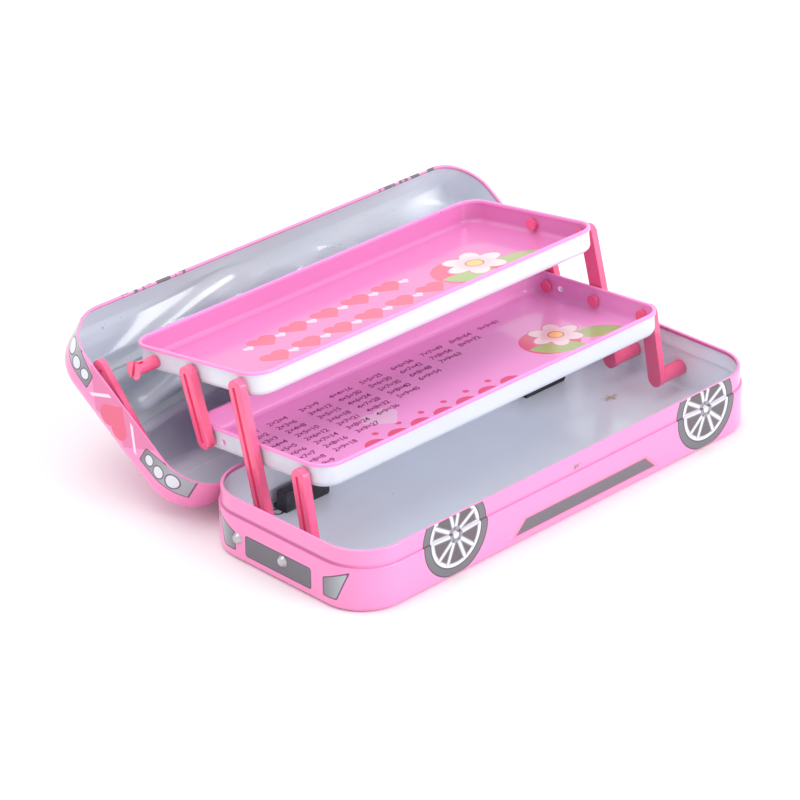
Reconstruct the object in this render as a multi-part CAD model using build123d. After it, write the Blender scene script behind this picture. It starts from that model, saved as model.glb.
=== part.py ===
"""Tin pencil case with two folding trays, open, as separate named parts (millimetres).

Frame: +X along the case, +Y towards the lid hinge, +Z up, origin on the table under
the middle of the base. Everything is drawn in the open pose, trays raised.
"""
import math
import os

from build123d import *

# ---- driving dimensions (mm) ----
LENGTH = 210.0          # upper band of the base, outside
WIDTH = 83.0
CORNER = 17.5           # plan corner radius of that band
SHEET = 0.6             # tin thickness
TOP = 24.5              # rim of the base
STEP_Z = 17.6           # shoulder that the lid's skirt comes down to
STEP = 0.8              # how far the lower body stands outside the band
RIM = 1.4               # rolled rims, thickness and height

LID_DEPTH = 20.3        # skirt edge to the shoulder of the lid's top
LID_CROWN = 0.8         # raised panel of the lid's top
LID_ROUND = 7.5
SKIRT_Z = 17.8          # edge of the skirt when shut
HINGE_Y = 43.711
HINGE_Z = 16.2
BARREL_R = 1.35
LID_OPEN = 146.0        # degrees from shut

TRAY_L = 179.0
TRAY_W = 70.0
TRAY_H = 9.8
TRAY_R = 9.0
TRAY_PIVOT = 4.5        # pivots above the tray's underside
LOWER_MID = -0.6        # middle of the lower tray from its middle pivot
UPPER_MID = 26.5        # middle of the upper tray from its front pivot

FRONT_PIN = (-2.0, 9.2)     # y, z of the rivets in the base ends
BACK_PIN = (21.4, 9.2)
LONG_1 = 25.3           # long link: base rivet to lower tray
LONG_2 = 26.6           # long link: lower tray to upper tray
LEAN_OPEN = 14.8        # long link leans back this far when open
LEAN_SHUT = -67.5
TILT_LOWER = 4.3        # droop of the trays towards the back when open
TILT_UPPER = 8.2
BACK_SPACING = 24.9     # middle to back pivot on the lower tray
PEG_SPACING = 47.4      # front pivot of the upper tray to its snap peg

LINK_IN = 90.0          # links lie between these |x|
LINK_OUT = 93.4
LINK_W = 6.6
PIN_R = 1.5
FIT = 0.06              # radial clearance of a turning pin
LOOSE_R = 2.2           # oversize holes of the two open pivots

STRIP_IN = 100.9        # lid strips lie between these |x|
STRIP_OUT = 103.3
STRIP_L = 42.0
STRIP_W = 6.2
STUD = (20.5, 10.4)     # along the lid's end from the hinge side, and deep, of the stud
STRIP_RISE = 13.5       # degrees from the skirt's edge line

FOOT_X = (-60.0, 67.0)
FOOT_Y = 37.2
FOOT_L = 21.5
FOOT_W = 6.8
HINGE_X = (-62.0, 62.0)


def lean(angle, r):
    """Offset (y, z) of a point r up a link that leans back by angle degrees."""
    a = math.radians(angle)
    return r * math.sin(a), r * math.cos(a)


def along(angle, r):
    """Offset (y, z) of a point r towards the back on a tray that droops by angle degrees."""
    a = math.radians(angle)
    return r * math.cos(a), -r * math.sin(a)


def add(p, q):
    return p[0] + q[0], p[1] + q[1]


def close_bar(p_open, u_open, p_shut, u_shut, q_open, q_shut):
    """Spacing s and bar length so that the bar from q fits p + s*u both open and shut."""
    a = (p_open[0] - q_open[0], p_open[1] - q_open[1])
    b = (p_shut[0] - q_shut[0], p_shut[1] - q_shut[1])
    num = a[0] ** 2 + a[1] ** 2 - b[0] ** 2 - b[1] ** 2
    den = 2 * (b[0] * u_shut[0] + b[1] * u_shut[1] - a[0] * u_open[0] - a[1] * u_open[1])
    s = num / den
    return s, math.hypot(a[0] + s * u_open[0], a[1] + s * u_open[1])


# ---- linkage, open and shut ----
MID = add(BACK_PIN, lean(LEAN_OPEN, LONG_1))
HIGH = add(BACK_PIN, lean(LEAN_OPEN, LONG_1 + LONG_2))
MID_SHUT = add(BACK_PIN, lean(LEAN_SHUT, LONG_1))
HIGH_SHUT = add(BACK_PIN, lean(LEAN_SHUT, LONG_1 + LONG_2))
FRONT_SPACING, FRONT_L = close_bar(
    MID, along(TILT_LOWER, -1), MID_SHUT, (-1, 0), FRONT_PIN, FRONT_PIN)
LOW_FRONT = add(MID, along(TILT_LOWER, -FRONT_SPACING))
LOW_BACK = add(MID, along(TILT_LOWER, BACK_SPACING))
LOW_BACK_SHUT = add(MID_SHUT, (BACK_SPACING, 0))
UP_SPACING, BACK_L = close_bar(
    HIGH, along(TILT_UPPER, 1), HIGH_SHUT, (1, 0), LOW_BACK, LOW_BACK_SHUT)
UP_MID = add(HIGH, along(TILT_UPPER, UP_SPACING))
PEG = add(HIGH, along(TILT_UPPER, PEG_SPACING))


def slab(lx, ly, r, z0, z1):
    """Upright block with rounded corners in plan."""
    return Pos(0, 0, z0) * extrude(RectangleRounded(lx, ly, r), amount=z1 - z0)


def pan(lx, ly, r, z0, z1, edge):
    """Slab whose bottom edge is rounded."""
    s = slab(lx, ly, r, z0, z1)
    return fillet(s.edges().group_by(Axis.Z)[0], edge)


def rolled_rim(lx, ly, r, z1, size):
    """Rolled edge: a rounded-corner ring, size wide and high, with soft edges."""
    ring = slab(lx, ly, r, z1 - size, z1) - slab(
        lx - 2 * size, ly - 2 * size, r - size, z1 - size - 1, z1 + 1)
    top = ring.edges().group_by(Axis.Z)[-1]
    return fillet(top, size * 0.42)


def rod(x0, x1, y, z, r):
    """Round bar along X between x0 and x1."""
    return Pos((x0 + x1) / 2, y, z) * Rot(0, 90, 0) * Cylinder(r, abs(x1 - x0))


def side(shape, sign):
    """The same part on the other end."""
    return shape if sign > 0 else mirror(shape, about=Plane.YZ)


def save(shape, name):
    os.makedirs("parts", exist_ok=True)
    solid = shape.solids()[0] if len(shape.solids()) == 1 else shape
    export_step(solid, "parts/%s.step" % name)


# ---- base ----
def base_tin():
    lx, ly = LENGTH + 2 * STEP, WIDTH + 2 * STEP
    body = pan(lx, ly, CORNER + STEP, 0, STEP_Z, 2.4)
    body = fillet(body.edges().group_by(Axis.Z)[-1], 0.55)
    body += slab(LENGTH, WIDTH, CORNER, STEP_Z - 1.0, TOP - RIM / 2)
    hollow = pan(lx - 2 * SHEET, ly - 2 * SHEET, CORNER + STEP - SHEET,
                 SHEET, STEP_Z - SHEET, 1.8)
    body -= hollow
    body -= slab(LENGTH - 2 * SHEET, WIDTH - 2 * SHEET, CORNER - SHEET, STEP_Z - 2, TOP + 1)
    body += rolled_rim(LENGTH, WIDTH, CORNER, TOP, RIM)
    for y, z in (FRONT_PIN, BACK_PIN):
        body -= rod(-LENGTH, LENGTH, y, z, PIN_R + FIT)
    for x in FOOT_X:
        for y in (-FOOT_Y, FOOT_Y):
            body -= Pos(x, y, 0) * Box(FOOT_L + 0.1, FOOT_W + 0.1, 4.6)
    dimple = Pos(5.0, -WIDTH / 2 - 2.3, 19.5) * Sphere(2.6)
    return body - dimple


def foot(x, y):
    """Black plastic foot set in the floor, flush below, with its housing inside."""
    pad = Pos(x, y, 1.1) * Box(FOOT_L, FOOT_W, 2.2)
    block = Pos(x, math.copysign(FOOT_Y - 1.2, y), 5.2) * Box(FOOT_L, 5.2, 7.6)
    block = fillet(block.edges().group_by(Axis.Z)[-1], 1.2)
    return pad + block


def rivet(sign, y, z):
    """Domed rivet from outside the end wall into the link's boss."""
    wall = LENGTH / 2 + STEP
    head = Pos(wall + 0.05, y, z) * Rot(0, 90, 0) * Cone(2.2, 1.5, 1.0,
                                                        align=(Align.CENTER, Align.CENTER, Align.MIN))
    return side(head + rod(wall - 6.0, wall + 0.2, y, z, PIN_R), sign)


# ---- lid, drawn shut and turned open about the hinge ----
def opened(shape):
    p = Pos(0, HINGE_Y, HINGE_Z)
    return p * Rot(-LID_OPEN, 0, 0) * p.inverse() * shape


def lid_shut():
    lx, ly = LENGTH + 2 * STEP, WIDTH + 2 * STEP
    r = CORNER + STEP
    top = SKIRT_Z + LID_DEPTH
    body = slab(lx, ly, r, SKIRT_Z, top)
    body = fillet(body.edges().group_by(Axis.Z)[-1], LID_ROUND)
    panel = slab(lx - 34, ly - 34, 6.0, top - 1.0, top + LID_CROWN)
    panel = chamfer(panel.edges().group_by(Axis.Z)[-1], LID_CROWN - 0.2)
    hollow = slab(lx - 2 * SHEET, ly - 2 * SHEET, r - SHEET, SKIRT_Z - 1, top - SHEET)
    hollow = fillet(hollow.edges().group_by(Axis.Z)[-1], LID_ROUND - SHEET)
    dish = slab(lx - 34 - 1.2, ly - 34 - 1.2, 5.4, top - 2.0, top + LID_CROWN - SHEET)
    dish = chamfer(dish.edges().group_by(Axis.Z)[-1], LID_CROWN - 0.2)
    body = body + panel - hollow - dish
    ring = slab(lx, ly, r, SKIRT_Z, SKIRT_Z + 1.0) - slab(
        lx - 2.0, ly - 2.0, r - 1.0, SKIRT_Z - 1, SKIRT_Z + 2)
    return body + ring


def hinge_leaf(x, lower):
    """One leaf of a hinge: a plate on the wall and its barrels round the pin."""
    wall = WIDTH / 2 + STEP
    z0, z1 = (HINGE_Z - 9.0, HINGE_Z) if lower else (HINGE_Z, HINGE_Z + 8.0)
    plate = Pos(x, wall + 0.45, (z0 + z1) / 2) * Box(18.0, 0.8, z1 - z0)
    spans = ((-9.0, -3.2), (3.2, 9.0)) if lower else ((-3.0, 3.0),)
    gaps = ((-3.2, 3.2),) if lower else ((-9.0, -3.0), (3.0, 9.0))
    for a, b in gaps:
        plate -= Pos(x + (a + b) / 2, wall + 0.45, HINGE_Z) * Box(b - a + 0.01, 3.0, 4.4)
    for a, b in spans:
        plate += rod(x + a, x + b, HINGE_Y, HINGE_Z, BARREL_R)
    return plate - rod(x - 10, x + 10, HINGE_Y, HINGE_Z, 0.75 + (0.0 if lower else FIT))


def hinge_pin(x):
    return rod(x - 9.4, x + 9.4, HINGE_Y, HINGE_Z, 0.74)


def lid_point(s, d):
    """(y, z) shut of a point s from the hinge-side skirt and d deep in the lid."""
    return WIDTH / 2 + STEP - s, SKIRT_Z + d


def lid_stud(sign):
    """Headed stud inside the lid's end that its strip turns on."""
    y, z = lid_point(*STUD)
    wall = LENGTH / 2 + STEP - SHEET
    stud = rod(STRIP_IN - 0.5, wall, y, z, 1.8) + rod(STRIP_IN - 0.9, STRIP_IN - 0.2, y, z, 2.8)
    return opened(side(stud, sign))


def lid_strip(sign):
    """Slotted strip, off its peg, lying in the lid along the skirt."""
    y, z = lid_point(*STUD)
    t = STRIP_OUT - STRIP_IN
    bar = extrude(SlotCenterToCenter(STRIP_L, STRIP_W), amount=t)
    bar -= extrude(Pos(4.0, 0, 0) * SlotCenterToCenter(STRIP_L - 12.0, 2.6), amount=t)
    bar -= Pos(-STRIP_L / 2, 0, t / 2) * Cylinder(1.8 + FIT, t + 1)
    bar = Pos(STRIP_L / 2, 0, 0) * bar
    bar = Rot(0, 90, 0) * Rot(0, 0, 90) * bar       # along +Y, thickness along +X
    bar = Pos(STRIP_IN, y, z) * Rot(180 + STRIP_RISE, 0, 0) * bar
    return opened(side(bar, sign))


# ---- links ----
def link_bar(p, q, w=LINK_W):
    """Flat bar between two pivots with round ends and a groove on its outer face."""
    length = math.hypot(q[0] - p[0], q[1] - p[1])
    t = LINK_OUT - LINK_IN
    bar = extrude(SlotCenterToCenter(length, w), amount=t)
    bar = fillet(bar.edges().group_by(Axis.Z)[-1], 0.8)
    bar -= Pos(0, 0, t - 0.9) * extrude(SlotCenterToCenter(length, 1.5), amount=2.0)
    bar = Rot(0, 90, 0) * Rot(0, 0, 90) * bar
    turn = math.degrees(math.atan2(q[1] - p[1], q[0] - p[0]))
    return Pos(LINK_IN, (p[0] + q[0]) / 2, (p[1] + q[1]) / 2) * Rot(turn, 0, 0) * bar


def boss(p):
    """Long boss from a link out to the end wall, bored for the rivet."""
    wall = LENGTH / 2 + STEP - SHEET
    b = rod(LINK_OUT - 1.2, wall - 0.3, p[0], p[1], 3.1)
    return b, rod(wall - 7.0, wall, p[0], p[1], PIN_R + FIT)


def tray_pin(p):
    """Pin through a tray's end wall with a snap head inside."""
    wall = TRAY_L / 2 - 0.6
    shank = rod(wall - SHEET - 0.7, LINK_IN + 0.5, p[0], p[1], PIN_R)
    return shank + rod(wall - SHEET - 1.8, wall - SHEET - 0.6, p[0], p[1], 2.4)


def front_link(sign):
    b, bore = boss(FRONT_PIN)
    return side(link_bar(FRONT_PIN, LOW_FRONT) + b - bore + tray_pin(LOW_FRONT), sign)


def long_link(sign):
    b, bore = boss(BACK_PIN)
    s = link_bar(BACK_PIN, HIGH) + b - bore + tray_pin(MID) + tray_pin(HIGH)
    return side(s, sign)


def back_link(sign):
    return side(link_bar(LOW_BACK, UP_MID) + tray_pin(LOW_BACK) + tray_pin(UP_MID), sign)


# ---- trays, drawn level about a pivot and then turned ----
def tray(holes, mid, pivot, droop):
    """Stamped tray; holes are (distance behind the pivot, radius)."""
    z0, z1 = -TRAY_PIVOT, TRAY_H - TRAY_PIVOT
    lx, ly = TRAY_L - 1.2, TRAY_W - 1.2
    body = pan(lx, ly, TRAY_R - 0.6, z0, z1 - 0.5, 2.6)
    body -= pan(lx - 2 * SHEET, ly - 2 * SHEET, TRAY_R - 0.6 - SHEET, z0 + SHEET, z1 + 1, 2.0)
    body += rolled_rim(TRAY_L, TRAY_W, TRAY_R, z1, RIM)
    body = Pos(0, mid, 0) * body
    for y, r in holes:
        body -= rod(-TRAY_L, TRAY_L, y, 0, r)
    return Pos(0, pivot[0], pivot[1]) * Rot(-droop, 0, 0) * body


def lower_tray():
    turn = PIN_R + FIT
    holes = ((-FRONT_SPACING, LOOSE_R), (0, turn), (BACK_SPACING, turn), (BACK_SPACING - 6.6, 1.2))
    return tray(holes, LOWER_MID, MID, TILT_LOWER)


def upper_tray():
    turn = PIN_R + FIT
    holes = ((0, turn), (UP_SPACING, LOOSE_R))
    peg_hole = rod(-TRAY_L, 0, PEG[0], PEG[1], turn)
    return tray(holes, UPPER_MID, HIGH, TILT_UPPER) - peg_hole


def snap_peg(sign):
    """Split flared peg that the lid's strip snaps on to."""
    wall = TRAY_L / 2 - 0.6
    shape = rod(wall - SHEET - 1.2, wall - SHEET - 0.1, 0, 0, 2.7)
    shape += rod(wall - SHEET - 0.5, wall + 0.5, 0, 0, PIN_R)
    shape += rod(wall + 0.1, wall + 8.6, 0, 0, 2.5)
    flare = Rot(0, 90, 0) * Cone(2.5, 3.7, 2.4, align=(Align.CENTER, Align.CENTER, Align.MIN))
    shape += Pos(wall + 8.5, 0, 0) * flare
    shape -= Pos(wall + 9.0, 0, 0) * Box(4.6, 1.3, 9.0)
    shape = Pos(0, PEG[0], PEG[1]) * Rot(-TILT_UPPER + 20, 0, 0) * shape
    return side(shape, sign)


save(base_tin(), "base_tin")
for i, x in enumerate(FOOT_X):
    for name, y in (("front", -FOOT_Y), ("back", FOOT_Y)):
        save(foot(x, y), "foot_%s_%s" % (name, ("left", "right")[i]))
save(opened(lid_shut()), "lid_tin")
for i, x in enumerate(HINGE_X):
    end = ("left", "right")[i]
    save(hinge_leaf(x, True), "hinge_leaf_base_" + end)
    save(opened(hinge_leaf(x, False)), "hinge_leaf_lid_" + end)
    save(hinge_pin(x), "hinge_pin_" + end)
save(lower_tray(), "tray_lower")
save(upper_tray(), "tray_upper")
for end, sign in (("left", -1), ("right", 1)):
    save(rivet(sign, *FRONT_PIN), "rivet_front_" + end)
    save(rivet(sign, *BACK_PIN), "rivet_back_" + end)
    save(front_link(sign), "link_front_" + end)
    save(long_link(sign), "link_long_" + end)
    save(back_link(sign), "link_back_" + end)
save(lid_stud(-1), "lid_stud_left")
save(lid_strip(-1), "lid_strip_left")
save(snap_peg(-1), "snap_peg_left")
print("front spacing %.3f, front link %.3f, upper spacing %.3f, back link %.3f"
      % (FRONT_SPACING, FRONT_L, UP_SPACING, BACK_L))
print("pivots", MID, HIGH, LOW_FRONT, LOW_BACK, UP_MID, PEG)
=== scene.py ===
# %% [markdown]
# # A tin pencil case with two folding trays
# The real case is pressed from printed tinplate: a base, a lid and two shallow trays that
# rise on plastic links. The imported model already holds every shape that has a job, so this
# lesson adds what makes it look real: lacquer, litho prints, moulded plastic, a wrinkled
# clear film in the lid and the little printed tables in the lower tray.

# %% Load the frame
import math

import bpy
import numpy as np
from mathutils import Matrix, Vector


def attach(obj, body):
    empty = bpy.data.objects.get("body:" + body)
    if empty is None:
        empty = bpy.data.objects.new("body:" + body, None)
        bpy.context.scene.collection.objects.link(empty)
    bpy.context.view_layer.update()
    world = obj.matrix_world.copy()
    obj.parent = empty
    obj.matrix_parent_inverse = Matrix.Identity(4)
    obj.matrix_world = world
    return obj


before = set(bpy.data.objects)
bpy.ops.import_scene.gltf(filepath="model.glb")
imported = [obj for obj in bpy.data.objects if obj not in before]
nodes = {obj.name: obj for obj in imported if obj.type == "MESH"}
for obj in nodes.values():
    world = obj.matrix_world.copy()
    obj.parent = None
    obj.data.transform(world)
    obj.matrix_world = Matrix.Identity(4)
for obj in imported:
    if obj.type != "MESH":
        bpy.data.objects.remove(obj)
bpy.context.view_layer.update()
MM = 0.001

# %% [markdown]
# ## The studio
# A small glossy thing is lit by what it reflects. A white room all round, with two large
# soft lamps above, gives wide pale reflections and almost no shadow on a white table. The
# room could be built from walls, but one even background colour does the same work.

# %% White room, table and lamps
scene = bpy.context.scene
scene.view_settings.view_transform = "Standard"
ROOM_WHITE = 1.0

room = bpy.data.worlds.new("white_room")
scene.world = room
room.use_nodes = True
room.node_tree.nodes["Background"].inputs["Color"].default_value = (1.0, 1.0, 1.0, 1.0)
room.node_tree.nodes["Background"].inputs["Strength"].default_value = ROOM_WHITE


def chip(red, green, blue):
    """A colour chip from a printed chart, 0 to 255, as the linear light a shader works in:
    c/12.92 below 0.04045, else ((c + 0.055) / 1.055) to the power 2.4."""
    c = np.array([red, green, blue]) / 255.0
    linear = np.where(c <= 0.04045, c / 12.92, ((c + 0.055) / 1.055) ** 2.4)
    return (*[float(v) for v in linear], 1.0)


def quads(name, grid, smooth=True):
    """A mesh of four-cornered faces over grid, an array of rows x columns x 3 points in mm.
    Face (i, j) joins points (i, j), (i, j+1), (i+1, j+1) and (i+1, j)."""
    rows, columns = grid.shape[:2]
    n = np.arange(rows * columns).reshape(rows, columns)
    faces = np.stack([n[:-1, :-1], n[:-1, 1:], n[1:, 1:], n[1:, :-1]], -1).reshape(-1, 4)
    mesh = bpy.data.meshes.new(name)
    mesh.from_pydata((grid.reshape(-1, 3) * MM).tolist(), [], faces.tolist())
    mesh.polygons.foreach_set("use_smooth", np.full(len(faces), smooth))
    piece = bpy.data.objects.new(name, mesh)
    scene.collection.objects.link(piece)
    print(name, len(faces), "faces")
    return piece


side = np.linspace(-3000.0, 3000.0, 9)
across, deep = np.meshgrid(side, side)
table = quads("white_table", np.stack([across, deep, 0 * across - 0.02], -1), False)


def softbox(name, place, aim, width, height, power):
    """A flat lamp, width by height in metres, at place and turned to face aim."""
    lamp = bpy.data.lights.new(name, "AREA")
    lamp.shape, lamp.size, lamp.size_y, lamp.energy = "RECTANGLE", width, height, power
    holder = bpy.data.objects.new(name, lamp)
    holder.location = place
    holder.rotation_mode = "QUATERNION"
    holder.rotation_quaternion = (Vector(aim) - Vector(place)).to_track_quat("-Z", "Y")
    scene.collection.objects.link(holder)
    return holder


softbox("front_softbox", (0.6, -1.65, 0.95), (0, 0, 0.03), 1.2, 1.0, 20.0)
softbox("top_softbox", (-0.3, 0.35, 1.6), (0, 0, 0.03), 1.4, 1.0, 8.0)

# %% [markdown]
# ## The camera
# A long lens from above the left front corner flattens the case, as product pictures do.
# Three numbers place it, three say where it looks, and a small roll levels it.

# %% Camera
EYE = Vector((-857.4, -830.1, 648.8)) * MM
LOOK_AT = Vector((-4.83, 41.1, 20.0)) * MM
ROLL = -0.013
FOCAL = 164.8

ahead = (LOOK_AT - EYE).normalized()
level = ahead.cross(Vector((0, 0, 1))).normalized()
upright = level.cross(ahead)
right = level * math.cos(ROLL) + upright * math.sin(ROLL)
above = upright * math.cos(ROLL) - level * math.sin(ROLL)
camera = bpy.data.objects.new("camera", bpy.data.cameras.new("camera"))
camera.data.lens, camera.data.sensor_width = FOCAL, 36.0
camera.matrix_world = Matrix.Translation(EYE) @ Matrix((right, above, -ahead)).transposed().to_4x4()
scene.collection.objects.link(camera)
scene.camera = camera
print("camera is", round((LOOK_AT - EYE).length, 3), "m from the case")

# %% [markdown]
# ## Inks that know where they are
# Litho prints on tin are flat shapes with hard edges: discs, bars, hearts. Each can be a
# distance in mm, below zero inside the shape, worked out from the place on the metal. An
# `Ink` wraps one number of a material, and ordinary arithmetic on it adds the Math nodes,
# so a print reads like its formula.

# %% Ink arithmetic
class Ink:
    """A number that varies over a surface. Arithmetic on it adds Math nodes."""

    def __init__(self, tree, socket):
        self.tree, self.socket = tree, socket

    def do(self, operation, *others, clamp=False):
        node = self.tree.nodes.new("ShaderNodeMath")
        node.operation, node.use_clamp = operation, clamp
        for slot, value in zip(node.inputs, (self, *others)):
            if isinstance(value, Ink):
                self.tree.links.new(value.socket, slot)
            else:
                slot.default_value = value
        return Ink(self.tree, node.outputs[0])

    def __add__(self, b):
        return self.do("ADD", b)

    def __sub__(self, b):
        return self.do("SUBTRACT", b)

    def __mul__(self, b):
        return self.do("MULTIPLY", b)

    def __neg__(self):
        return self.do("MULTIPLY", -1.0)

    def __abs__(self):
        return self.do("ABSOLUTE")

    def low(self, b):
        return self.do("MINIMUM", b)

    def high(self, b):
        return self.do("MAXIMUM", b)

    def far(self, b):
        """Distance from the point where both numbers are zero."""
        return (self * self + b * b).do("SQRT")

    def under(self, edge, soft=0.12):
        """1 where the number is below edge, 0 above, with a ramp soft wide between."""
        return self.do("MULTIPLY_ADD", -1.0 / soft, 0.5 + edge / soft, clamp=True)

    def over(self, edge, soft=0.12):
        return self.do("MULTIPLY_ADD", 1.0 / soft, 0.5 - edge / soft, clamp=True)


def place_on(tree):
    """x, y and z of the point being shaded, in mm in the case's frame."""
    source = tree.nodes.new("ShaderNodeTexCoord")
    split = tree.nodes.new("ShaderNodeSeparateXYZ")
    tree.links.new(source.outputs["Object"], split.inputs[0])
    return [Ink(tree, out) * (1 / MM) for out in split.outputs]


def turned(y, z, origin, degrees):
    """The same point in a frame at origin whose first axis drops by degrees:
    along = dy cos - dz sin, up = dy sin + dz cos."""
    c, s = math.cos(math.radians(degrees)), math.sin(math.radians(degrees))
    dy, dz = y - origin[0], z - origin[1]
    return dy * c - dz * s, dy * s + dz * c


def plate(x, y, half_x, half_y, corner):
    """Distance to a rounded rectangle: length of the part past the corner centres, less
    the corner radius, or the nearer side when inside."""
    a, b = abs(x) - (half_x - corner), abs(y) - (half_y - corner)
    return a.high(0.0).far(b.high(0.0)) + a.high(b).low(0.0) - corner


def disc(x, y, radius):
    return x.far(y) - radius


def heart(x, y, size):
    """Distance to a heart size high above its point at (0, 0): two discs, and a wedge whose
    sides touch them. The wedge stops at the line from each touching point to the centre."""
    k = size / 12.5
    lobe = disc(abs(x) - 3.2 * k, y - 8.6 * k, 3.9 * k)
    wedge = (abs(x) * 0.701 - y * 0.713).high(abs(x) * 0.713 + y * 0.701 - 8.31 * k)
    return lobe.low(wedge.high(y - 9.8 * k))


# %% Finishes and print layers
def finish(name, colour, **sockets):
    """A Principled material; sockets sets its own numbers by name."""
    material = bpy.data.materials.new(name)
    material.use_nodes = True
    tree = material.node_tree
    shader = tree.nodes["Principled BSDF"]
    shader.inputs["Base Color"].default_value = colour
    for key, value in sockets.items():
        shader.inputs[key.replace("_", " ")].default_value = value
    return material, tree, shader


def grain(tree, size, detail=2.0, stretch=(1, 1, 1), rough=0.5):
    """Cloudy noise from 0 to 1 whose blotches are about size mm across, times stretch."""
    source = tree.nodes.new("ShaderNodeTexCoord")
    mapping = tree.nodes.new("ShaderNodeMapping")
    mapping.inputs["Scale"].default_value = [1 / (size * MM * s) for s in stretch]
    tree.links.new(source.outputs["Object"], mapping.inputs["Vector"])
    noise = tree.nodes.new("ShaderNodeTexNoise")
    noise.inputs["Scale"].default_value = 1.0
    noise.inputs["Detail"].default_value = detail
    noise.inputs["Roughness"].default_value = rough
    tree.links.new(mapping.outputs[0], noise.inputs["Vector"])
    return Ink(tree, noise.outputs[0])


def lay(tree, below, ink, mask):
    """One print layer: ink where mask is 1, what was below where it is 0."""
    mix = tree.nodes.new("ShaderNodeMix")
    mix.data_type = "RGBA"
    tree.links.new(mask.socket, mix.inputs[0])
    for slot, value in ((mix.inputs[6], below), (mix.inputs[7], ink)):
        if isinstance(value, tuple):
            slot.default_value = value
        else:
            tree.links.new(value, slot)
    return mix.outputs[2]


def relief(tree, shader, layers):
    """Bumps in turn: each layer is (height, how deep in mm)."""
    normal = None
    for height, depth in layers:
        bump = tree.nodes.new("ShaderNodeBump")
        bump.inputs["Distance"].default_value = depth * MM
        tree.links.new(height.socket, bump.inputs["Height"])
        if normal is not None:
            tree.links.new(normal, bump.inputs["Normal"])
        normal = bump.outputs[0]
    tree.links.new(normal, shader.inputs["Normal"])


def lacquer(tree, shader, paint, worn=None):
    """Lacquered tin: faint colour drift, smears in the gloss, hairline scratches, gentle
    waves of the sheet and, where worn is 1, bare metal."""
    drift = grain(tree, 30.0, 3.0)
    paint = lay(tree, paint, chip(150, 118, 140), drift.over(0.78, 0.9) * 0.12)
    hair = grain(tree, 1.0, 1.0, (14.0, 0.45, 3.0)).over(0.76, 0.04)
    cross = grain(tree, 1.0, 1.0, (0.5, 11.0, 4.0)).over(0.77, 0.04)
    marks = hair.high(cross)
    paint = lay(tree, paint, chip(205, 195, 205), marks * 0.07)
    if worn is not None:
        paint = lay(tree, paint, chip(150, 142, 146), worn)
        tree.links.new((worn * 0.8).socket, shader.inputs["Metallic"])
    tree.links.new(paint, shader.inputs["Base Color"])
    gloss = grain(tree, 14.0, 4.0) * 0.16 + marks * 0.10 + 0.10
    tree.links.new(gloss.socket, shader.inputs["Roughness"])
    relief(tree, shader, [(grain(tree, 48.0, 1.0), 0.55), (grain(tree, 0.9, 1.0), 0.0025)])


# %% [markdown]
# ## Inside or outside
# One sheet of tin has two prints: pink outside, cool grey enamel inside. The CAD tin is a
# solid 0.6 mm thick, so the colour has to change inside the sheet's own thickness. The
# outline is a rounded rectangle and the bottom edge a quarter circle, so one distance tells
# on which side of the middle of the sheet a point lies.

# %% Measures of the tin
LONG, WIDE = 105.8, 42.3        # half sizes of the base's lower body and of the lid
SHOULDER = 17.6                 # where the base steps in under the lid
BAND = 0.8                      # how far it steps in
TIN_CORNER = 18.3
RIM_TOP, RIM = 24.5, 1.4
SHEET = 0.6
WHEEL_X, WHEEL_MID, WHEEL_Z = 66.6, 7.0, 16.9

PINK = chip(247, 142, 196)
PINK_DEEP = chip(188, 88, 148)
ENAMEL = chip(231, 238, 250)
TYRE, TYRE_EDGE = chip(104, 103, 111), chip(70, 67, 75)
ALLOY, ALLOY_SHADE = chip(216, 219, 227), chip(138, 139, 150)
GAP = chip(86, 79, 84)
PANEL, PANEL_EDGE = chip(100, 98, 106), chip(92, 66, 92)
CORAL_INK = chip(232, 90, 128)


def shell(outline, height, edge):
    """Above 0 on the outer half of a sheet: the distance from the centre of the rounded
    bottom edge, less the radius to the middle of the sheet."""
    reach = (outline + edge).high(0.0).far((-height + edge).high(0.0))
    return reach - (edge - SHEET / 2)


def wheel(tree, paint, u, v, shown):
    """A car wheel printed round u = v = 0: tyre, alloy ring, five pairs of spokes, hub."""
    radius = u.far(v)
    fifth = (v.do("ARCTAN2", u) * (5 / math.tau) + 10.25).do("FRACT") - 0.5
    angle = fifth * (math.tau / 5)
    out, aside = radius * angle.do("COSINE"), abs(radius * angle.do("SINE"))
    spoke = abs(aside - out * 0.25 + 0.1) - 0.62
    spoke = spoke.high(-out + 2.2)
    layers = [
        (radius - 16.0, TYRE_EDGE), (radius - 15.5, TYRE), (radius - 12.9, TYRE_EDGE),
        (radius - 12.4, ALLOY), (radius - 11.0, ALLOY_SHADE), (radius - 10.6, GAP),
        ((spoke - 0.42).high(radius - 11.5), ALLOY_SHADE), (spoke.high(radius - 11.5), ALLOY),
        (radius - 3.1, ALLOY_SHADE), (disc(out - 2.4, aside, 0.42), GAP),
        (radius - 1.75, GAP), (radius - 1.4, ALLOY)]
    for shape, ink in layers:
        paint = lay(tree, paint, ink, shape.under(0.0, 0.2) * shown)
    return paint


def worn_spots(tree, near, share=0.70):
    """Small chips, more of them where near is 1."""
    return grain(tree, 1.6, 3.0).over(share, 0.02) * near


# %% [markdown]
# ## The base's print
# The case is dressed as a little car. The long sides carry two wheels and a sill strip, the
# ends a grille panel between two swept lamps. The same print is on both long sides and both
# ends, so folding a coordinate with its absolute value prints two shapes from one formula.

# %% Base
SILL_MID, SILL_HALF, SILL_FOOT, SILL_TOP = 7.9, 36.9, 4.2, 9.0
GRILLE_MID, GRILLE_HALF = (0.4, 7.8), (17.0, 4.3)       # y and z on the ends
LATCH_SCUFF = (3.2, 19.6)                               # x and z on the front
FLOOR_RUB, FLOOR_RING = (79.0, 11.0), (-72.0, 37.0)     # x and y on the floor


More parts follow.
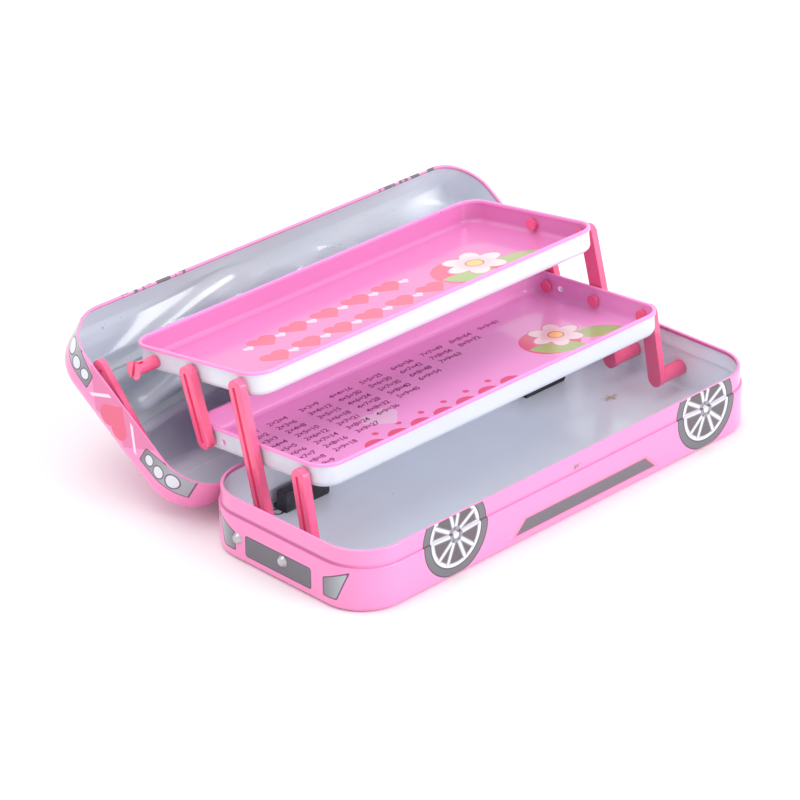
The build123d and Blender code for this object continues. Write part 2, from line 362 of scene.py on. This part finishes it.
def sill_strip(tree, paint, x, z, shown):
    """A long low trapezium, its ends leaning in 1.05 mm for each mm up, with a coral line
    about 1 mm outside it."""
    slope = (abs(x - SILL_MID) - SILL_HALF + (z - 4.1) * 1.05) * 0.69
    bar = slope.high(z - SILL_TOP).high(-z + SILL_FOOT)
    line = (slope - 1.3).high(z - (SILL_TOP + 1.0)).high(-z + (SILL_FOOT - 0.9))
    paint = lay(tree, paint, chip(246, 130, 172), line.under(0.0, 1.2) * shown)
    paint = lay(tree, paint, chip(128, 92, 112), bar.under(0.25, 0.3) * shown)
    return lay(tree, paint, PANEL, bar.under(-0.2, 0.25) * shown)


def end_print(tree, paint, y, z, shown):
    """Grille panel, and two lamps swept back round the corners. A lamp is the overlap of
    four half planes whose corners are rounded by a smooth maximum."""
    panel = plate(y - GRILLE_MID[0], z - GRILLE_MID[1], *GRILLE_HALF, 1.2)
    side_y = abs(y)
    lamp = (-side_y + 22.4).do("SMOOTH_MAX", -z + 3.9, 1.2)
    lamp = lamp.do("SMOOTH_MAX", (z - 11.6 - (side_y - 23.0) * 0.42) * 0.92, 1.2)
    lamp = lamp.do("SMOOTH_MAX", (side_y - 28.8 - (z - 4.0) * 0.40) * 0.93, 1.2)
    paint = lay(tree, paint, PANEL_EDGE, panel.low(lamp).under(0.0, 0.25) * shown)
    paint = lay(tree, paint, PANEL, panel.under(-0.45, 0.25) * shown)
    glass = lay(tree, chip(112, 110, 118), chip(172, 182, 186), (side_y - 23.0).over(4.0, 10.0))
    return lay(tree, paint, glass, lamp.under(-0.5, 0.25) * shown)


def base_finish():
    material, tree, shader = finish("pink_tin_base", PINK, Coat_Weight=0.35, Coat_Roughness=0.04)
    x, y, z = place_on(tree)
    upper = z.over(SHOULDER - 0.3, 0.05)
    body = shell(plate(x, y, LONG, WIDE, TIN_CORNER), z, 2.4).over(0.0, 0.05)
    band = plate(x, y, LONG - BAND, WIDE - BAND, TIN_CORNER - BAND)
    outside = body * (-upper + 1.0) + (band + SHEET / 2).over(0.0, 0.05) * upper
    paint = wheel(tree, PINK, abs(x - WHEEL_MID) - WHEEL_X, z - WHEEL_Z, abs(y).over(35.0))
    paint = sill_strip(tree, paint, x, z, abs(y).over(35.0))
    paint = end_print(tree, paint, y, z, abs(x).over(84.0))
    # Painted shade: a deep pink line in the concave corner just above the shoulder, where the band meets
    # the step. It is strong on the ends and faint on the long sides.
    fold = abs(z - SHOULDER - 0.5).under(0.6, 0.5) * (abs(y).under(34.0, 16.0) * 0.72 + 0.08)
    paint = lay(tree, paint, PINK_DEEP, fold)
    scuff = disc((x - LATCH_SCUFF[0]) * 0.7, z - LATCH_SCUFF[1], 1.3) + grain(tree, 1.3, 3.0) * 3.0 - 1.5
    paint = lay(tree, paint, chip(128, 112, 122), scuff.under(-0.4, 0.7) * (-y).over(40.0) * 0.9)
    inner = base_inside(tree, x, y, z)
    paint = lay(tree, inner, paint, outside)
    rim = z.over(RIM_TOP - RIM, 0.1)
    paint = lay(tree, paint, PINK, rim * (-outside + 1.0))
    line = abs(band + RIM + 0.05).under(0.22, 0.15) * z.over(RIM_TOP - RIM - 0.3, 0.2)
    paint = lay(tree, paint, PINK_DEEP, line * 0.8)
    lacquer(tree, shader, paint, worn_spots(tree, rim, 0.72))
    return material


def base_inside(tree, x, y, z):
    """Cool grey enamel: a brown rub and a small black ring on the floor, and dark nicks high
    on the right end wall."""
    cloud = grain(tree, 55.0, 2.0)
    paint = lay(tree, ENAMEL, chip(234, 237, 246), cloud.over(0.5, 0.3))
    rub = disc((x - FLOOR_RUB[0]) * 0.45, y - FLOOR_RUB[1], 1.5) + grain(tree, 2.0, 4.0) * 5.0 - 2.5
    paint = lay(tree, paint, chip(172, 150, 110), rub.under(-0.2, 1.6) * z.under(1.2) * 0.75)
    dots = grain(tree, 1.7, 2.0).over(0.765, 0.02)
    paint = lay(tree, paint, chip(160, 160, 170), dots * 0.6)
    ring = abs((x - FLOOR_RING[0]).far(y - FLOOR_RING[1]) - 2.0) - 0.45
    paint = lay(tree, paint, chip(60, 58, 70), ring.under(0.0, 0.4) * z.under(1.2))
    nick = plate(y - 16.5, z - 14.6, 1.6, 0.28, 0.2).low(plate(y - 12.5, z - 10.4, 1.4, 0.2, 0.1))
    return lay(tree, paint, chip(112, 108, 122), nick.under(0.0, 0.3) * x.over(100.0) * 0.9)


nodes["base_tin"].data.materials.clear()
nodes["base_tin"].data.materials.append(base_finish())
print("base printed")

# %% [markdown]
# ## The lid's print
# The lid leans back 34 degrees past upright, so its print is worked out in its own frame:
# s runs along its ends from the hinge side and d is the depth from the skirt's edge. The
# outside carries the bonnet end with its lamps, a heart badge, wheel tops and windows.

# %% Lid
LID_CORNER = (45.775, 15.662)   # y, z of the skirt's edge at the hinge side, lid open
LID_LEAN = 34.0
LID_DEEP, LID_ROUND, LID_CROWN = 20.3, 7.5, 0.8
LID_SEAM = 0.3                  # skirt's edge above the shoulder when shut
BADGE_S = 43.3                  # middle of the bonnet print along the lid's end
# Each round lamp: from the badge, deep in the lid, half width and half height.
ROUND_LAMPS = ((20.6, 6.2, 2.1, 2.4), (26.2, 6.3, 2.4, 2.8), (32.3, 4.9, 2.7, 3.4))


def lid_frame(y, z):
    """s and d: s = dy cos + dz sin, d = dy sin - dz cos."""
    c, s = math.cos(math.radians(LID_LEAN)), math.sin(math.radians(LID_LEAN))
    dy, dz = y - LID_CORNER[0], z - LID_CORNER[1]
    return dy * c + dz * s, dy * s - dz * c


def bonnet_print(tree, paint, s, d, shown):
    """Lamp panels with three round lamps each, white creases and a heart badge."""
    m = abs(s - BADGE_S)
    recess = (m * 0.76 + d * 0.64 - 15.6).high(-m * 0.5 + d * 0.86 - 7.6)
    paint = lay(tree, paint, chip(222, 108, 160), recess.under(0.0, 0.4) * shown * 0.75)
    crease = abs((m - 7.3) * 0.755 - (d - 2.5) * 0.656) - 0.65
    crease = crease.high(d - 10.5).high(-d + 1.8)
    paint = lay(tree, paint, chip(248, 222, 240), crease.under(0.0, 0.3) * shown)
    badge = heart(s - BADGE_S, d - 0.2, 13.8)
    paint = lay(tree, paint, CORAL_INK, badge.under(0.0, 0.25) * shown)
    cover = (-m + 16.8).do("SMOOTH_MAX", d - 10.6 + (m - 17.0) * 0.06, 1.5)
    cover = cover.do("SMOOTH_MAX", -d + 3.0 - (m - 17.0) * 0.33, 1.5).high(m - 39.0)
    paint = lay(tree, paint, PANEL_EDGE, cover.under(0.0, 0.25) * shown)
    glass = lay(tree, chip(122, 120, 128), chip(165, 170, 176), (m - 24.0).over(0.0, 14.0))
    paint = lay(tree, paint, glass, cover.under(-0.45, 0.25) * shown)
    for at, up, wide, tall in ROUND_LAMPS:
        lamp = disc((m - at) * (1 / wide), (d - up) * (1 / tall), 1.0)
        paint = lay(tree, paint, PANEL_EDGE, lamp.under(0.12, 0.10) * shown)
        paint = lay(tree, paint, chip(226, 230, 238), lamp.under(-0.08, 0.10) * shown)
    return paint


def window_print(tree, paint, x, s, d):
    """Side windows on the long walls, and on top a windscreen, a rear window and a row of
    hearts, one every 15 mm."""
    wall = abs(s - WIDE).over(34.0, 0.3)
    pane = plate(abs(x) - 17.5, d - 11.5, 15.5, 3.8, 1.5)
    paint = lay(tree, paint, ALLOY, pane.under(0.8, 0.25) * wall)
    paint = lay(tree, paint, PANEL, pane.under(0.0, 0.25) * wall)
    top = d.over(LID_DEEP - 0.3, 0.2)
    screen = plate(abs(x) - 58.0, s - WIDE, 8.5, 22.0 , 4.0)
    paint = lay(tree, paint, ALLOY, screen.under(1.2, 0.25) * top)
    paint = lay(tree, paint, PANEL, screen.under(0.0, 0.25) * top)
    row = ((x * (1 / 15.0) + 50.5).do("FRACT") - 0.5) * 15.0
    hearts = heart(row, s - 36.5, 11.0).high(abs(x) - 37.4)
    return lay(tree, paint, CORAL_INK, hearts.under(0.0, 0.25) * top)


def lid_finish():
    material, tree, shader = finish("pink_tin_lid", PINK, Coat_Weight=0.35, Coat_Roughness=0.04)
    x, y, z = place_on(tree)
    s, d = lid_frame(y, z)
    centred = s - WIDE
    crown = plate(x, centred, LONG - 17.3, WIDE - 17.3, 6.0).under(0.0, 0.8)
    depth = -(d - crown * LID_CROWN) + LID_DEEP
    outside = shell(plate(x, centred, LONG, WIDE, TIN_CORNER), depth, LID_ROUND).over(0.0, 0.05)
    paint = wheel(tree, PINK, abs(x - WHEEL_MID) - WHEEL_X, d - WHEEL_Z + SHOULDER + LID_SEAM,
                  abs(centred).over(34.0))
    paint = window_print(tree, paint, x, s, d)
    paint = bonnet_print(tree, paint, s, d, abs(x).over(84.0) * d.under(LID_DEEP - 2.0, 0.3))
    paint = lay(tree, lid_inside(tree, x, s, d), paint, outside)
    edge = d.under(1.05, 0.1)
    seam = abs(d - 1.1).under(0.22, 0.15) * (-outside + 1.0)
    mark = abs(x - WHEEL_MID + WHEEL_X).low(abs(x - WHEEL_MID - WHEEL_X)).under(15.6, 0.4)
    dashes = mark * abs(centred).over(38.0, 0.4) * grain(tree, 3.2, 0.0, (1, 9, 9)).over(0.47, 0.08)
    paint = lay(tree, paint, PINK, edge * (-outside + 1.0))
    paint = lay(tree, paint, TYRE, edge * dashes)
    paint = lay(tree, paint, PINK_DEEP, seam * 0.7)
    lacquer(tree, shader, paint, worn_spots(tree, edge, 0.74))
    return material


def lid_inside(tree, x, s, d):
    """Grey enamel with a lighter cloud and fine specks."""
    cloud = grain(tree, 70.0, 2.0)
    paint = lay(tree, ENAMEL, chip(236, 238, 246), cloud.over(0.5, 0.3))
    dots = grain(tree, 1.5, 2.0).over(0.75, 0.02)
    return lay(tree, paint, chip(140, 138, 150), dots * 0.8)


nodes["lid_tin"].data.materials.clear()
nodes["lid_tin"].data.materials.append(lid_finish())
print("lid printed")

# %% [markdown]
# ## The trays' prints
# Each tray droops a few degrees about its pivot, and its print lies in its own frame. Inside
# they are a deeper pink with coral shapes, a pale heart and a daisy; outside they are plain
# white. The rolled rim shows pink all round, because the sheet is curled outwards there. A
# print that runs in a row is drawn once, round a coordinate that repeats along the tray.

# %% Trays
TRAY_LONG, TRAY_WIDE, TRAY_CORNER, TRAY_EDGE = 88.9, 34.4, 8.4, 2.6
TRAY_TALL, TRAY_PIVOT = 9.8, 4.5
LOWER = {"pivot": (27.8628, 33.6606), "droop": 4.3, "middle": -0.6}
PALE_INK = chip(244, 208, 232)
LEAF_INK = chip(168, 190, 120)
PETAL_INK, PETAL_EDGE, PETAL_BLUSH = chip(244, 222, 224), chip(214, 150, 172), chip(236, 190, 204)
EYE_INK, EYE_EDGE = chip(250, 200, 120), chip(190, 120, 96)
HILL_PITCH, HEART_PITCH = 11.7, 16.0
UPPER = {"pivot": (34.6576, 59.3781), "droop": 8.2, "middle": 26.5}
# Both trays are one pink. The lower tray's pink is painted lighter: painted light that stands in for the
# light the upper tray keeps off it.
LOWER_PINK_PAINTED_LIGHT, UPPER_PINK = chip(244, 162, 219), chip(224, 130, 190)
TRAY_WHITE = chip(221, 225, 236)


def daisy(tree, paint, u, v, size, shown):
    """A six-petalled flower round u = v = 0, with a coral disc behind it and two pointed
    leaves. A petal's edge is where the radius is size * (0.62 + 0.38 |cos(3 angle)|). A leaf
    is where two discs overlap."""
    k = size / 11.0
    coral = disc(u + 6.0 * k, v + 2.5 * k, 12.0 * k)
    paint = lay(tree, paint, CORAL_INK, coral.under(0.0, 0.3) * shown)
    left_leaf = disc(u + 2.0 * k, v + 1.0 * k, 15.0 * k)
    left_leaf = left_leaf.high(disc(u + 14.0 * k, v + 17.0 * k, 15.0 * k))
    right_leaf = disc(u - 17.0 * k, v + 3.0 * k, 14.0 * k)
    right_leaf = right_leaf.high(disc(u - 8.0 * k, v + 18.0 * k, 14.0 * k))
    leaves = left_leaf.low(right_leaf)
    paint = lay(tree, paint, LEAF_INK, leaves.under(0.0, 0.3) * shown)
    radius = u.far(v)
    petal = radius - abs((v.do("ARCTAN2", u) * 3.0).do("COSINE")) * (4.2 * k) - 6.8 * k
    paint = lay(tree, paint, PETAL_EDGE, petal.under(0.4, 0.3) * shown)
    paint = lay(tree, paint, PETAL_INK, petal.under(-0.3, 0.3) * shown)
    inner = -(radius - 6.2 * k).over(0.0, 3.0 * k) + 1.0
    blush = petal.under(-0.8, 0.5) * inner * shown * 0.7
    paint = lay(tree, paint, PETAL_BLUSH, blush)
    paint = lay(tree, paint, EYE_EDGE, (radius - 3.3 * k).under(0.0, 0.3) * shown)
    return lay(tree, paint, EYE_INK, (radius - 2.7 * k).under(0.0, 0.3) * shown)


def lower_print(tree, paint, x, t, floor):
    """Coral hills and beads along the front, a pale heart, and the daisy on the right."""
    near = ((x * (1 / HILL_PITCH) + 50.8).do("FRACT") - 0.5) * HILL_PITCH
    run = abs(x + 15.2)
    hills = disc(near, t + 21.0, 5.0).high(run - 40.6)
    beads = disc(abs(near) - HILL_PITCH / 2, t + 13.4, 1.3).high(run - 38.0)
    paint = lay(tree, paint, CORAL_INK, hills.low(beads).under(0.0, 0.3) * floor)
    pale = heart(x + 33.0, t + 13.0, 14.0)
    paint = lay(tree, paint, chip(238, 196, 226), pale.under(0.0, 0.3) * floor)
    return daisy(tree, paint, x - 61.0, t + 4.0, 11.0, floor)


def upper_print(tree, paint, x, t, floor):
    """Two staggered rows of coral hearts with pale ones between, and a larger daisy. Each
    row has its shift along x, its foot, its height, half its run and its ink."""
    rows = ((0.0, -14.0, 11.0, 47.5, CORAL_INK), (8.0, 2.0, 11.0, 39.5, CORAL_INK),
            (8.0, -11.0, 4.0, 44.0, PALE_INK), (0.0, 5.0, 4.0, 44.0, PALE_INK))
    for shift, low, tall, half, ink in rows:
        near = ((x + shift) * (1 / HEART_PITCH) + 50.0).do("FRACT") * HEART_PITCH
        near = near - HEART_PITCH / 2
        row = heart(near, t - low, tall).high(abs(x + 16.0) - half)
        paint = lay(tree, paint, ink, row.under(0.0, 0.3) * floor)
    return daisy(tree, paint, x - 52.0, t + 3.0, 13.0, floor)


def tray_finish(name, tray, pink, picture):
    material, tree, shader = finish(name, pink, Coat_Weight=0.35, Coat_Roughness=0.04)
    x, y, z = place_on(tree)
    along, up = turned(y, z, tray["pivot"], tray["droop"])
    t, height = along - tray["middle"], up + TRAY_PIVOT
    outline = plate(x, t, TRAY_LONG, TRAY_WIDE, TRAY_CORNER)
    outside = shell(outline, height, TRAY_EDGE).over(0.0, 0.05)
    paint = picture(tree, pink, x, t, height.under(2.4, 0.3))
    paint = lay(tree, paint, TRAY_WHITE, outside)
    rim = height.over(TRAY_TALL - 1.25, 0.1)
    paint = lay(tree, paint, chip(250, 150, 212), rim)
    lacquer(tree, shader, paint, worn_spots(tree, rim, 0.74))
    return material


for name, tray, pink, picture in (("tray_lower", LOWER, LOWER_PINK_PAINTED_LIGHT, lower_print),
                                  ("tray_upper", UPPER, UPPER_PINK, upper_print)):
    nodes[name].data.materials.clear()
    nodes[name].data.materials.append(tray_finish("tray_tin_" + name[5:], tray, pink, picture))
print("trays printed")

# %% [markdown]
# ## Multiplication table
# The lower tray's floor carries the times tables in small purple figures, nine columns, each
# starting at its own square. Blender's own lettering draws them as curves; turned into thin
# closed meshes and laid on the floor, they stay crisp at any distance.

# %% Printed figures
FIGURE_X = (-78.0, -64.0, -48.0, -32.8, -17.0, -0.8, 15.2, 30.6, 46.2)
FIGURE_TOP, FIGURE_PITCH, FIGURE_SIZE = 21.9, 5.0, 3.9


def column_of(table_no):
    """Mesh points in mm and faces of one column, such as 2x2=4 down to 2x9=18."""
    text = bpy.data.curves.new("column", "FONT")
    rows = range(table_no, 10)
    text.body = "\n".join("%d×%d=%d" % (table_no, row, table_no * row) for row in rows)
    text.size, text.space_line, text.shear = FIGURE_SIZE, FIGURE_PITCH / FIGURE_SIZE, 0.18
    text.space_character, text.resolution_u, text.extrude = 0.9, 3, 0.012
    text.offset = 0.05
    holder = bpy.data.objects.new("column", text)
    scene.collection.objects.link(holder)
    mesh = bpy.data.meshes.new_from_object(holder)
    points = np.empty(len(mesh.vertices) * 3)
    mesh.vertices.foreach_get("co", points)
    loops = np.empty(len(mesh.loops), int)
    mesh.loops.foreach_get("vertex_index", loops)
    sizes = np.empty(len(mesh.polygons), int)
    mesh.polygons.foreach_get("loop_total", sizes)
    bpy.data.objects.remove(holder)
    bpy.data.meshes.remove(mesh)
    points = points.reshape(-1, 3) + (FIGURE_X[table_no - 1], FIGURE_TOP, 0.0)
    return points, loops, sizes


def on_tray_floor(points, tray, lift):
    """Flat points (x, t, h) to the case's frame: the floor lies SHEET above the underside,
    and the tray turns by its droop about its pivot."""
    c, s = math.cos(math.radians(tray["droop"])), math.sin(math.radians(tray["droop"]))
    along, up = points[:, 1] + tray["middle"], points[:, 2] + SHEET + lift - TRAY_PIVOT
    y = tray["pivot"][0] + along * c + up * s
    z = tray["pivot"][1] - along * s + up * c
    return np.stack([points[:, 0], y, z], -1)


columns = [column_of(n) for n in range(1, 10)]
starts = np.cumsum([0] + [len(c[0]) for c in columns[:-1]])
figure_points = on_tray_floor(np.concatenate([c[0] for c in columns]), LOWER, 0.02)
figure_loops = np.concatenate([c[1] + s for c, s in zip(columns, starts)])
figure_sizes = np.concatenate([c[2] for c in columns])
figure_mesh = bpy.data.meshes.new("times_table_figures")
figure_faces = np.split(figure_loops, np.cumsum(figure_sizes)[:-1])
figure_mesh.from_pydata((figure_points * MM).tolist(), [], [f.tolist() for f in figure_faces])
figures = bpy.data.objects.new("times_table_figures", figure_mesh)
scene.collection.objects.link(figures)
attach(figures, "lower_tray")

ink_material, ink_tree, ink_shader = finish("purple_figure_ink", chip(132, 40, 98), Roughness=0.3)
ink_cloud = grain(ink_tree, 1.2, 2.0)
ink_tree.links.new(lay(ink_tree, chip(124, 36, 94), chip(158, 56, 120), ink_cloud.over(0.5, 0.4)),
                   ink_shader.inputs["Base Color"])
figure_mesh.materials.append(ink_material)
print("figures:", len(figure_faces), "faces")

# %% [markdown]
# ## Plastic and steel
# The links, pegs and strips are injection-moulded coral plastic: light sinks a little way in,
# so thin edges glow, and the skin has a faint moulded texture. The feet are matt black. The
# rivets and hinges are nickel plated, with fine brushing.

# %% Link, foot and rivet finishes
def coral_finish():
    material, tree, shader = finish(
        "coral_plastic", chip(247, 96, 142), Subsurface_Weight=0.25, Subsurface_Scale=0.0022,
        Coat_Weight=0.5, Coat_Roughness=0.06)
    cloud = grain(tree, 16.0, 1.0)
    paint = lay(tree, chip(244, 92, 138), chip(250, 106, 152), cloud.over(0.5, 0.5))
    tree.links.new(paint, shader.inputs["Base Color"])
    tree.links.new((grain(tree, 5.0, 2.0) * 0.12 + 0.18).socket, shader.inputs["Roughness"])
    relief(tree, shader, [(grain(tree, 9.0, 1.0), 0.05), (grain(tree, 0.35, 2.0), 0.004)])
    return material


def black_finish():
    material, tree, shader = finish("black_plastic", chip(38, 36, 46))
    paint = lay(tree, chip(30, 28, 36), chip(62, 58, 70), grain(tree, 5.0, 3.0).over(0.55, 0.3))
    tree.links.new(paint, shader.inputs["Base Color"])
    tree.links.new((grain(tree, 2.0, 3.0) * 0.25 + 0.35).socket, shader.inputs["Roughness"])
    relief(tree, shader, [(grain(tree, 0.4, 2.0), 0.02)])
    return material


def steel_finish():
    material, tree, shader = finish("nickel_steel", chip(200, 196, 200), Metallic=1.0)
    mottle = grain(tree, 4.0, 2.0).over(0.55, 0.4)
    paint = lay(tree, chip(206, 204, 208), chip(176, 172, 178), mottle)
    tree.links.new(paint, shader.inputs["Base Color"])
    brushed = grain(tree, 0.35, 2.0, (40, 1, 1))
    tree.links.new((brushed * 0.16 + 0.24).socket, shader.inputs["Roughness"])
    relief(tree, shader, [(brushed, 0.0003)])
    return material


coral, black, steel = coral_finish(), black_finish(), steel_finish()
FINISH_BY_START = {"link_": coral, "lid_strip_": coral, "lid_stud_": coral, "snap_peg_": coral,
                   "foot_": black, "rivet_": steel, "hinge_": steel}
for name, node in nodes.items():
    for start, material in FINISH_BY_START.items():
        if name.startswith(start):
            node.data.materials.clear()
            node.data.materials.append(material)
print("finishes on", len(nodes), "nodes")

# %% [markdown]
# ## Clear film in the lid
# A loose sheet of clear film lies in the lid. It is one height field over the lid's floor: a
# slow swell plus a few sharp folds that fan out from a crumpled spot. A fold is a ridge,
# exp(-(distance to a line / width)^2), so it catches the light as a thin bright streak.

# %% Film
FILM_S, FILM_X = (24.0, 80.5), (-98.0, 98.0)
FILM_ROWS, FILM_COLUMNS = 110, 260
FILM_LIFT = 17.6                # deep in the lid, from the skirt's edge
LOWEST_DIP = -0.8               # how far the swell may go back towards the lid's floor
TURN_UP_AT, TURN_UP = 72.0, 0.75    # past this s the film rises by so much for each mm


def ridge(x, s, start, end, width, rise):
    """A fold along the line start to end: rise * exp(-(across / width)^2), fading past its ends."""
    ax, as_ = end[0] - start[0], end[1] - start[1]
    length = math.hypot(ax, as_)
    across = ((x - start[0]) * as_ - (s - start[1]) * ax) / length
    on = ((x - start[0]) * ax + (s - start[1]) * as_) / length ** 2
    fade = np.exp(-np.maximum(np.abs(on - 0.5) - 0.5, 0.0) ** 2 * 60.0)
    return rise * np.exp(-(across / width) ** 2) * fade


FOLDS = (
    ((-95, 64), (-20, 76), 6.5, 3.4), ((-20, 76), (90, 66), 8.0, 3.0),
    ((-52, 60), (-8, 74), 2.4, 1.5), ((-60, 54), (-22, 66), 1.8, 1.0),
    ((-66, 62), (-30, 60), 1.6, 0.9), ((-44, 52), (-12, 70), 2.0, 1.1),
    ((-80, 50), (-50, 58), 2.4, 1.4), ((20, 70), (80, 60), 2.2, 1.4),
    ((34, 74), (92, 52), 1.8, 1.2), ((-96, 40), (-40, 46), 3.0, 1.0),
)
film_x, film_s = np.meshgrid(np.linspace(*FILM_X, FILM_COLUMNS), np.linspace(*FILM_S, FILM_ROWS))
rise = 0.9 * np.sin(film_x / 23.0 + film_s / 31.0)
rise = rise + 0.6 * np.sin(film_x / 11.0 - film_s / 9.0 + 1.0)
for start, end, width, height in FOLDS:
    rise = rise + ridge(film_x, film_s, start, end, width, height)
turn_up = np.maximum(film_s - TURN_UP_AT, 0.0) * TURN_UP
film_d = FILM_LIFT - np.maximum(rise, LOWEST_DIP) - turn_up
c34, s34 = math.cos(math.radians(LID_LEAN)), math.sin(math.radians(LID_LEAN))
film_y = LID_CORNER[0] + film_s * c34 + film_d * s34
film_z = LID_CORNER[1] + film_s * s34 - film_d * c34
film = quads("lid_clear_film", np.stack([film_x, film_y, film_z], -1))
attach(film, "lid")

film_material = bpy.data.materials.new("clear_film")
film_material.use_nodes = True
film_tree = film_material.node_tree
film_tree.nodes.remove(film_tree.nodes["Principled BSDF"])
see_through = film_tree.nodes.new("ShaderNodeBsdfTransparent")
see_through.inputs[0].default_value = (0.97, 0.975, 0.985, 1.0)
shine = film_tree.nodes.new("ShaderNodeBsdfGlossy")
shine.inputs["Color"].default_value = (1, 1, 1, 1)
film_tree.links.new((grain(film_tree, 8.0, 3.0) * 0.10 + 0.12).socket, shine.inputs["Roughness"])
facing = film_tree.nodes.new("ShaderNodeLayerWeight")
facing.inputs["Blend"].default_value = 0.44
film_mix = film_tree.nodes.new("ShaderNodeMixShader")
film_tree.links.new(facing.outputs["Fresnel"], film_mix.inputs[0])
film_tree.links.new(see_through.outputs[0], film_mix.inputs[1])
film_tree.links.new(shine.outputs[0], film_mix.inputs[2])
film_tree.links.new(film_mix.outputs[0], film_tree.nodes["Material Output"].inputs[0])
film.data.materials.append(film_material)

# %% [markdown]
# ## The table's surface
# The table is a plain pale sheet, a little glossy, so the case stands on something.

# %% Table finish
table.data.materials.append(finish("pale_table", chip(244, 243, 244), Roughness=0.5)[0])
print("table finished")
